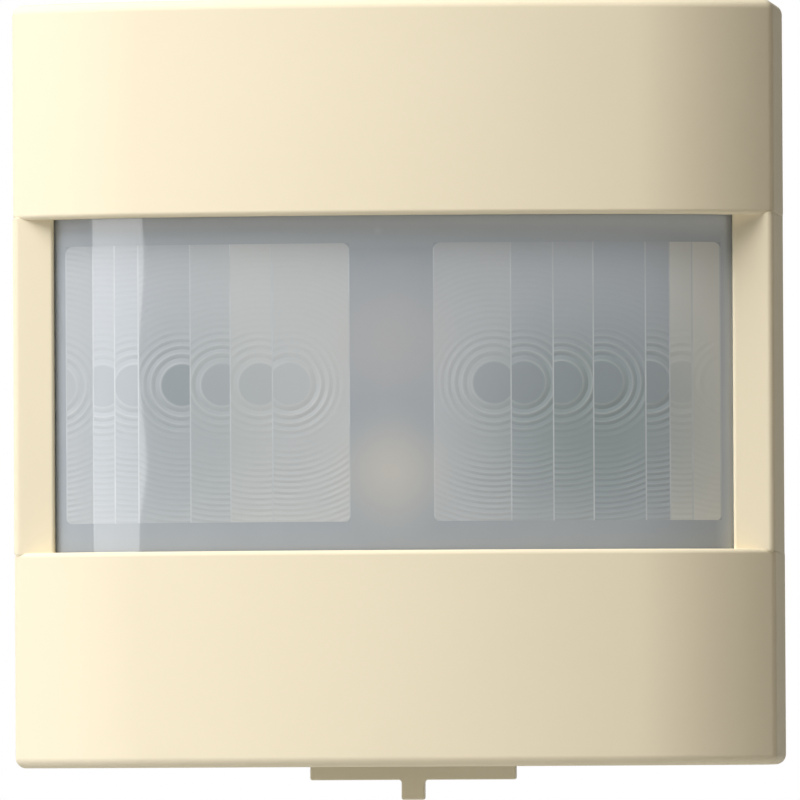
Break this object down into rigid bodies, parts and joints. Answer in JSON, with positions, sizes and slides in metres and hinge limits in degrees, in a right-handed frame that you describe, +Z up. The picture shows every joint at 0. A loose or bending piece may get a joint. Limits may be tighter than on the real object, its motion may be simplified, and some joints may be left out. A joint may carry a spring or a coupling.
{
  "type": "motion sensor light switch",
  "caption": "Square cream motion sensor switch top with a bowed front, a recessed fresnel lens, a removal slide and rear setting dials.",
  "frame": {"origin": "middle of the rear seat face, which lies on the switch insert in the wall", "axes": "+Y out of the rear face into the wall, +Z up, +X to the right seen from the front"},
  "size_m": [0.055, 0.0308, 0.0575],
  "materials": {
    "cream_plastic": "satin",
    "lens_plastic": "milky translucent",
    "frame_plastic": "matte",
    "housing_plastic": "matte",
    "holder_plastic": "matte",
    "clear_plastic": "clear, warm tint",
    "dial_plastic": "satin",
    "trimmer_plastic": "satin",
    "black_plastic": "matte",
    "board_laminate": "lacquered",
    "filter_glass": "dark, polished",
    "can_steel": "plated",
    "screw_steel": "zinc plated",
    "spring_steel": "rolled strip",
    "capacitor_aluminium": "drawn",
    "plated_brass": "plated"
  },
  "bodies": {
    "base": {"front_cover": "cream_plastic", "lens": "lens_plastic", "lens_frame": "frame_plastic", "frame_screws": "screw_steel", "sensor_holder": "holder_plastic", "detector_can_left": "can_steel", "detector_can_right": "can_steel", "detector_window_left": "filter_glass", "detector_window_right": "filter_glass", "detector_leads": "plated_brass", "indicator_guide": "clear_plastic", "brightness_guide": "clear_plastic", "indicator_lamp": "clear_plastic", "light_sensor": "black_plastic", "circuit_board": "board_laminate", "board_screws": "screw_steel", "controller_chip": "black_plastic", "capacitors": "capacitor_aluminium", "chip_resistors": "black_plastic", "connector_block": "black_plastic", "contact_pins": "plated_brass", "trimmer_cases": "trimmer_plastic", "rear_housing": "housing_plastic", "retaining_springs": "spring_steel"},
    "lock": {"locking_slide": "cream_plastic"},
    "sensitivity": {"sensitivity_dial": "dial_plastic"},
    "run_on": {"run_on_dial": "dial_plastic"},
    "brightness": {"brightness_dial": "dial_plastic"}
  },
  "joints": [
    {"name": "lock_slide", "type": "slide", "parent": "base", "child": "lock", "axis": [0, 0, 1], "range_m": [0, 0.0015]},
    {"name": "sensitivity_turn", "type": "hinge", "parent": "base", "child": "sensitivity", "pos_m": [-0.014, -0.004, 0.015], "axis": [0, 1, 0], "range_deg": [-135, 135]},
    {"name": "run_on_turn", "type": "hinge", "parent": "base", "child": "run_on", "pos_m": [0, -0.004, 0.015], "axis": [0, 1, 0], "range_deg": [-135, 135]},
    {"name": "brightness_turn", "type": "hinge", "parent": "base", "child": "brightness", "pos_m": [0.014, -0.004, 0.015], "axis": [0, 1, 0], "range_deg": [-135, 135]}
  ]
}
